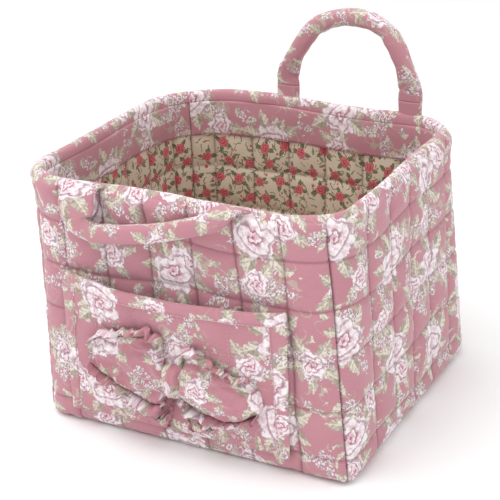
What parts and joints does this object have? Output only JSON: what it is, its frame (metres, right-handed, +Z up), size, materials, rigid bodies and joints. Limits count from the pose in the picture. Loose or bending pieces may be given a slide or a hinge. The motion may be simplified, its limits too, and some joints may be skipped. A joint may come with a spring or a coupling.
{
  "type": "sewing basket",
  "caption": "Soft open-topped quilted fabric basket with a rolled rim, patterned lining, padded fold-over handles and a front patch pocket with a gathered bow.",
  "frame": {"origin": "centre of the base, on the face the basket stands on", "axes": "+Z up, +X to the right along the front wall, +Y from the pocket wall to the back wall"},
  "size_m": [0.2722, 0.266, 0.2822],
  "materials": {
    "rose_print": "quilted printed cotton",
    "lining_print": "printed cotton",
    "wadding": "polyester wadding",
    "stiffener": "grey board"
  },
  "bodies": {
    "basket": {"base_board": "stiffener", "bow_knot": "rose_print", "bow_left_loop": "rose_print", "bow_left_tail": "rose_print", "bow_right_loop": "rose_print", "bow_right_tail": "rose_print", "lining_back": "lining_print", "lining_base": "lining_print", "lining_front": "lining_print", "lining_left": "lining_print", "lining_right": "lining_print", "outer_back_panel": "rose_print", "outer_base_panel": "rose_print", "outer_front_panel": "rose_print", "outer_left_panel": "rose_print", "outer_right_panel": "rose_print", "pocket_left_binding": "rose_print", "pocket_panel": "rose_print", "pocket_right_binding": "rose_print", "pocket_top_binding": "rose_print", "rim_binding": "rose_print", "rim_facing_back": "rose_print", "rim_facing_front": "rose_print", "rim_facing_left": "rose_print", "rim_facing_right": "rose_print", "wadding_back": "wadding", "wadding_base": "wadding", "wadding_front": "wadding", "wadding_left": "wadding", "wadding_right": "wadding"},
    "front_handle_ends": {"front_handle_left_end": "rose_print", "front_handle_right_end": "rose_print"},
    "front_handle": {"front_handle_cover": "rose_print", "front_handle_core": "wadding"},
    "back_handle_ends": {"back_handle_left_end": "rose_print", "back_handle_right_end": "rose_print"},
    "back_handle": {"back_handle_cover": "rose_print", "back_handle_core": "wadding"}
  },
  "joints": [
    {"name": "front_handle_rim_fold", "type": "hinge", "parent": "basket", "child": "front_handle_ends", "pos_m": [0, -0.11775, 0.2034], "axis": [-1, 0, 0], "range_deg": [0, 180]},
    {"name": "front_handle_tube_fold", "type": "hinge", "parent": "front_handle_ends", "child": "front_handle", "pos_m": [0, -0.13275, 0.2034], "axis": [-1, 0, 0], "range_deg": [0, 180]},
    {"name": "back_handle_rim_fold", "type": "hinge", "parent": "basket", "child": "back_handle_ends", "pos_m": [0, 0.11375, 0.2034], "axis": [-1, 0, 0], "range_deg": [-90, 90]},
    {"name": "back_handle_tube_fold", "type": "hinge", "parent": "back_handle_ends", "child": "back_handle", "pos_m": [0, 0.11375, 0.2184], "axis": [-1, 0, 0], "range_deg": [-90, 90]}
  ],
  "couplings": [
    {"joint": "front_handle_rim_fold", "follows": "front_handle_tube_fold", "ratio": 1},
    {"joint": "back_handle_rim_fold", "follows": "back_handle_tube_fold", "ratio": 1}
  ]
}
